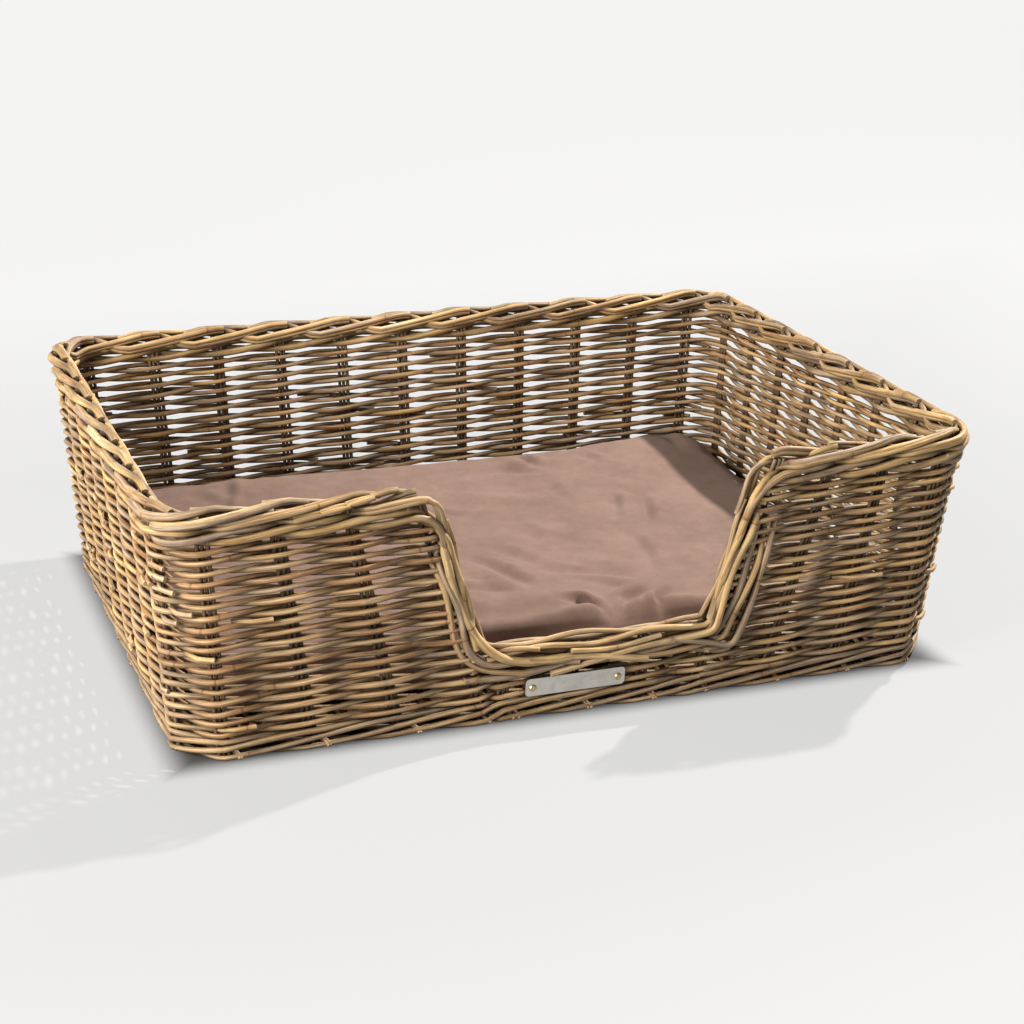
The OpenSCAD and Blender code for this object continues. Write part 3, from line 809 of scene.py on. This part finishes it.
# ---- woven base
def base_mat():
    """Lines of the sticks along the base and of the weavers across it, over one and under the next."""
    mat_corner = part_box("base_weave_upper")[1]
    stick_low, stick_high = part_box("base_sticks")
    middle = (stick_low[2] + stick_high[2]) / 2
    stick = stick_high[2] - stick_low[2]
    half_x, half_y = mat_corner[0] + 14 * MM, mat_corner[1] + 4 * MM
    thin, pitch, sticks = 4.6 * MM, 5.6 * MM, 11
    cut = 26 * MM
    rng = random.Random(3)
    stick_lines, weaver_lines = [], []
    gap = 2 * half_y / sticks
    for i in range(sticks):
        y = -half_y + (i + 0.5) * gap
        reach = half_x - max(0.0, abs(y) + cut - half_y)
        for twin in (-1, 1):
            points = [(x, y + twin * stick * 0.26, middle) for x in (-reach, 0, reach)]
            stick_lines.append((points, [stick * 0.26] * 3, rng.random()))
    count = int(2 * half_x / pitch)
    for i in range(count):
        x = -half_x + (i + 0.5) * 2 * half_x / count
        reach = half_y - max(0.0, abs(x) + cut - half_x)
        steps = 6 * sticks
        points = []
        for k in range(steps + 1):
            y = -reach + 2 * reach * k / steps
            wave = math.sin((y + half_y) / gap * math.pi) * (1 if i % 2 else -1)
            points.append((x + rng.uniform(-0.2, 0.2) * MM, y, middle + wave * (stick * 0.26 + thin / 2)))
        weaver_lines.append((points, [thin / 2 * rng.uniform(0.9, 1.08)] * len(points), rng.random()))
    return stick_lines, weaver_lines


stick_lines, weaver_lines = base_mat()
base_sticks = cane_along("base_sticks_cane", stick_lines, cane_stake, 20 * MM, 8)
base_weave = cane_along("base_mat", weaver_lines, cane_weave, 8 * MM, 6)


def base_hoop():
    """Thick rod pair that frames the base inside the stakes."""
    height = 14 * MM
    lines = []
    for k, out in enumerate((-8.0, -13.0)):
        points = [wall_point(s / 4, out * MM, height) for s in range(FULL_SPAN * 4 + 1)]
        lines.append((points, [HOOP_CANE / 2] * len(points), 0.3 + 0.3 * k))
    return lines


base_frame = cane_along("base_hoop", base_hoop(), cane_border, 10 * MM, 8)


# ---- cushion
CLOTH_FRAMES = 20


def cushion_slab(shrink):
    """Rounded slab in the space of the CAD cushion, smaller by shrink on each side."""
    top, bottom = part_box("cushion_cover_top"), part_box("cushion_cover_bottom")
    low, high = Vector(bottom[0]), Vector(top[1])
    half = (high - low) / 2 - Vector((shrink, shrink, shrink * 0.8))
    middle = (high + low) / 2
    bm = bmesh.new()
    bmesh.ops.create_cube(bm, size=2.0)
    for v in bm.verts:
        v.co = Vector((v.co.x * half.x, v.co.y * half.y, v.co.z * half.z))
    upright = [e for e in bm.edges if abs(e.verts[0].co.z - e.verts[1].co.z) > half.z]
    bmesh.ops.bevel(bm, geom=upright, offset=0.045, segments=6, affect="EDGES", profile=0.5)
    rims = [e for e in bm.edges if abs(e.verts[0].co.z - e.verts[1].co.z) < 1e-6
            and len(e.link_faces) == 2 and abs(e.link_faces[0].normal.z - e.link_faces[1].normal.z) > 0.5]
    bmesh.ops.bevel(bm, geom=rims, offset=half.z * 0.62, segments=5, affect="EDGES", profile=0.5)
    mesh = bpy.data.meshes.new("cushion")
    for v in bm.verts:
        v.co += middle
    bm.to_mesh(mesh)
    bm.free()
    return new_object("cushion", mesh)


def apply_all(piece):
    """Turns a piece's modifiers into plain mesh."""
    ready = piece.evaluated_get(bpy.context.evaluated_depsgraph_get())
    mesh = bpy.data.meshes.new_from_object(ready)
    piece.modifiers.clear()
    piece.data = mesh


def inflate(piece, voxel, pressure, cap):
    """Blows the cushion up as cloth under pressure and holds back how far a point moves."""
    remesh = piece.modifiers.new("Remesh", "REMESH")
    remesh.mode, remesh.voxel_size = "VOXEL", voxel
    apply_all(piece)
    start = np.array([v.co[:] for v in piece.data.vertices])
    cloth = piece.modifiers.new("Cloth", "CLOTH")
    cloth.settings.use_pressure = True
    cloth.settings.uniform_pressure_force = pressure
    cloth.settings.effector_weights.gravity = 0.0
    cloth.point_cache.frame_start, cloth.point_cache.frame_end = 1, CLOTH_FRAMES
    scene = bpy.context.scene
    for number in range(1, CLOTH_FRAMES + 1):
        scene.frame_set(number)
    ready = piece.evaluated_get(bpy.context.evaluated_depsgraph_get())
    end = np.array([v.co[:] for v in ready.to_mesh().vertices])
    ready.to_mesh_clear()
    piece.modifiers.clear()
    scene.frame_set(1)
    move = end - start
    far = np.linalg.norm(move, axis=1, keepdims=True)
    move *= np.minimum(1.0, cap / np.maximum(far, 1e-9))
    piece.data.vertices.foreach_set("co", (start + move).ravel())


def fold_lines():
    """Soft folds of the cover: middle, direction in degrees, length, width, height of its ridge, depth beside it."""
    rng = random.Random(12)
    folds = [
        (40, -206, -64, 60, 9, 3.0, 4.0), (66, -204, 48, 60, 9, 3.0, 3.6), (90, -220, 74, 44, 8, 3.0, 3.6),
        (62, -196, 28, 70, 10, 2.0, 3.0), (96, -208, 52, 60, 9, 2.0, 3.4), (30, -190, -30, 60, 11, 1.8, 2.4),
        (168, 26, -112, 100, 11, 1.8, 3.0), (196, 4, -108, 130, 12, 2.0, 3.4), (150, -96, -100, 110, 13, 1.6, 2.6),
        (128, 192, -82, 56, 11, 2.6, 4.4), (108, 170, -40, 70, 14, 1.8, 2.2), (196, 170, -68, 60, 14, 1.4, 1.8),
        (-4, -110, -72, 130, 14, 1.8, 3.0), (26, -70, -62, 110, 16, 1.4, 2.4), (-60, -130, -20, 120, 16, 1.6, 2.2),
        (60, -120, -30, 120, 16, 1.6, 2.0), (-120, 40, 16, 160, 22, 1.4, 1.6), (40, 90, -24, 160, 22, 1.4, 1.6),
    ]
    for _ in range(26):
        folds.append((rng.uniform(-320, 320), rng.uniform(-220, 220), rng.uniform(-110, 10), rng.uniform(60, 150),
                      rng.uniform(11, 24), rng.uniform(0.6, 1.8), rng.uniform(0.8, 2.2)))
    return folds


def settle_cover(piece):
    """Sags the filling a little, then lays the cover's folds, side seam and front placket."""
    count = len(piece.data.vertices)
    at, normal = np.empty(count * 3), np.empty(count * 3)
    piece.data.vertices.foreach_get("co", at)
    piece.data.vertex_normals.foreach_get("vector", normal)
    at, normal = at.reshape(-1, 3) / MM, normal.reshape(-1, 3)
    x, y, z = at.T.copy()
    low = z.min()
    upper = np.clip((normal[:, 2] - 0.05) / 0.6, 0, 1)
    rise = np.zeros(count)
    rng = random.Random(5)
    for _ in range(44):
        cx, cy, r = rng.uniform(-330, 330), rng.uniform(-230, 230), rng.uniform(36, 90)
        rise += rng.uniform(-2.2, 2.2) * np.exp(-((x - cx) ** 2 + (y - cy) ** 2) / r ** 2)
    # fuller at the back right corner and back wall, hollow where the pet lies
    rise += 6.0 * np.exp(-((x - 300) ** 2 + (y - 190) ** 2) / 110 ** 2) + 3.0 * np.clip((y - 120) / 100, 0, 1)
    rise -= 5.0 * np.exp(-((x + 10) ** 2 + (y + 60) ** 2) / 170 ** 2)
    # front edge: the cover stands up in a rolled lip with a pucker
    lip = 6.5 + 3.5 * np.exp(-((x - 16) / 26) ** 2)
    lip += 2.5 * np.exp(-((x - 118) / 26) ** 2) - 9.0 * np.exp(-((x - 50) / 13) ** 2)
    lip_y = -229 + 4 * np.sin(x / 38)
    rise += lip * np.exp(-((y - lip_y) / 11) ** 2) - 2.6 * np.exp(-((y - lip_y - 24) / 12) ** 2)
    for cx, cy, angle, length, width, height, depth in fold_lines():
        c, s = math.cos(math.radians(angle)), math.sin(math.radians(angle))
        u = (x - cx) * c + (y - cy) * s
        v = -(x - cx) * s + (y - cy) * c + 0.0022 * u * u
        window = np.clip(1 - (u / (length / 2)) ** 2, 0, 1) ** 1.5
        ridge = 1.25 * height * np.exp(-(v / (0.55 * width)) ** 2)
        valley = 1.25 * depth * np.exp(-((v + width) / (0.55 * width)) ** 2)
        rise += window * (ridge - valley)
    z_new = z + upper * rise
    # side seam half way up and a flat placket along the front edge
    side = np.clip(1 - np.abs(normal[:, 2]) / 0.75, 0, 1)
    seam = low + (z.max() - low) * 0.5
    groove = -1.8 * np.exp(-((z_new - seam) / 1.9) ** 2)
    front = np.clip((-normal[:, 1] - 0.3) / 0.4, 0, 1)
    lap = seam + 13 + 2.0 * np.sin(x / 60)
    groove += front * (2.6 / (1 + np.exp((z_new - lap) / 0.8)) - 1.3)
    groove += front * -1.2 * np.exp(-((z_new - lap + 16) / 1.6) ** 2)
    for k, part in enumerate((x, y)):
        part += side * groove * normal[:, k]
    piece.data.vertices.foreach_set("co", (np.stack([x, y, z_new], axis=1) * MM).ravel())
    piece.data.update()


cushion = cushion_slab(5 * MM)
inflate(cushion, 6 * MM, 4.0, 9 * MM)
smooth = cushion.modifiers.new("Smooth", "SUBSURF")
smooth.levels = smooth.render_levels = 1
apply_all(cushion)
settle_cover(cushion)
cushion.data.materials.clear()
cushion.data.materials.append(cushion_cloth())
cushion.data.polygons.foreach_set("use_smooth", [True] * len(cushion.data.polygons))

# ---- metal plate
paint("name_plate", plate_metal)
paint("plate_rivets", rivet_brass)
paint("rivet_washers", rivet_brass)

# ---- riding and what stands for what
WALLS = ("back", "left", "right", "front_left", "front_right")
STANDS_FOR = {
    weave_low: ["weave_sill_outer", "weave_sill_inner"],
    weave_mid: [f"weave_{wall}_outer" for wall in WALLS + ("corners",)],
    weave_top: [f"weave_{wall}_inner" for wall in WALLS + ("corners",)],
    stakes_wall: [f"stakes_{wall}" for wall in WALLS] + ["corner_posts"],
    stakes_sill: ["stakes_sill"],
    rim_wale: [],
    weave_tails: [],
    foot_stubs: [],
    rim_outer: [f"rim_{wall}" for wall in WALLS],
    rim_inner: ["rim_corners"],
    foot_wale: [f"foot_border_{wall}" for wall in ("front", "back", "left", "right", "corners")],
    gate_border: ["entrance_edge_left", "entrance_edge_right", "sill_border"],
    base_sticks: ["base_sticks"],
    base_weave: ["base_weave_upper", "base_weave_lower"],
    base_frame: ["base_frame"],
}
for piece, nodes in STANDS_FOR.items():
    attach(piece, "basket")
    if nodes:
        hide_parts(*nodes)
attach(cushion, "cushion")
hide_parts("cushion_cover_top", "cushion_cover_bottom", "cushion_fill")


# ---- floor, light and camera
WARM_WHITE = (1.0, 0.975, 0.94)


def studio():
    scene = bpy.context.scene
    # the floor reaches far past the camera, so that its edge never shows
    bpy.ops.mesh.primitive_plane_add(size=80, location=(0, 0, 0))
    floor = bpy.context.object
    floor.name = "floor"
    material, tree, shader = new_material("pale_floor")
    shader.inputs["Base Color"].default_value = (0.072, 0.072, 0.072, 1)
    shader.inputs["Roughness"].default_value = 0.7
    shader.inputs["Specular IOR Level"].default_value = 0.1
    shader.inputs["Emission Color"].default_value = (1.0, 1.0, 0.995, 1)
    x, y, _ = axes(tree, tree.nodes.new("ShaderNodeTexCoord").outputs["Object"])
    # painted light: most of the floor's brightness is its own glow rather than lamp light; the glow is left out
    # under the basket's footprint, which paints a contact shadow there, and grows brighter further from the basket
    away = (x.abs() - FOOT_X).max(y.abs() - FOOT_Y)
    glow = away.map(-0.02, 0.02, 0.0, 0.625, True) + away.map(0.25, 1.1, 0.0, 0.13) + away.map(1.5, 9.0, 0.0, 0.12)
    plug(tree, glow, shader.inputs["Emission Strength"])
    floor.data.materials.append(material)

    world = bpy.data.worlds.new("studio")
    world.use_nodes = True
    sky = world.node_tree
    sky.nodes["Background"].inputs[0].default_value = (*WARM_WHITE, 1)
    # the camera sees a bright wall, while the light it gives is softer
    seen = Num(sky, sky.nodes.new("ShaderNodeLightPath").outputs["Is Camera Ray"])
    given = axes(sky, sky.nodes.new("ShaderNodeTexCoord").outputs["Generated"])[2].map(0.0, 0.9, 0.28, 0.38)
    plug(sky, given + seen * (0.9 - given), sky.nodes["Background"].inputs[1])
    scene.world = world
    scene.view_settings.view_transform = "Standard"

    lamp = bpy.data.lights.new("key", "POINT")
    lamp.energy, lamp.shadow_soft_size, lamp.color = 88, 0.04, WARM_WHITE
    lamp.use_nodes = True
    even = lamp.node_tree.nodes.new("ShaderNodeLightFalloff")
    even.inputs["Strength"].default_value = 1.0
    lamp.node_tree.links.new(even.outputs["Constant"], lamp.node_tree.nodes["Emission"].inputs["Strength"])
    new_object("key", lamp).location = (1.56, 0.46, 1.78)

    softbox = bpy.data.lights.new("side_fill", "AREA")
    softbox.energy, softbox.size, softbox.color = 124, 1.4, (1.0, 0.965, 0.9)
    fill = new_object("side_fill", softbox)
    fill.location = (-2.2, -0.8, 1.0)
    fill.rotation_euler = Vector((-2.2, -0.8, 0.85)).to_track_quat("Z", "Y").to_euler()


def look_from(azimuth, elevation, roll, distance, target, focal_px):
    """Camera at an angle round the object: azimuth 0 looks along +Y."""
    a, e, r = (math.radians(v) for v in (azimuth, elevation, roll))
    back = Vector((math.sin(a) * math.cos(e), -math.cos(a) * math.cos(e), math.sin(e)))
    right = (-back).cross(Vector((0, 0, 1))).normalized()
    up = right.cross(-back)
    x_axis = right * math.cos(r) + up * math.sin(r)
    y_axis = up * math.cos(r) - right * math.sin(r)
    place = Vector(target) + back * distance
    data = bpy.data.cameras.new("view")
    side_px, data.sensor_width = 1024, 36
    data.lens = focal_px / side_px * 36
    data.clip_end = 120
    camera = new_object("view", data)
    turn = Matrix((x_axis, y_axis, back)).transposed().to_4x4()
    camera.matrix_world = Matrix.Translation(place) @ turn
    bpy.context.scene.camera = camera


studio()
look_from(azimuth=-20.3, elevation=19.8, roll=0.83, distance=2.187, target=(0.0298, 0.0, 0.1), focal_px=2123)
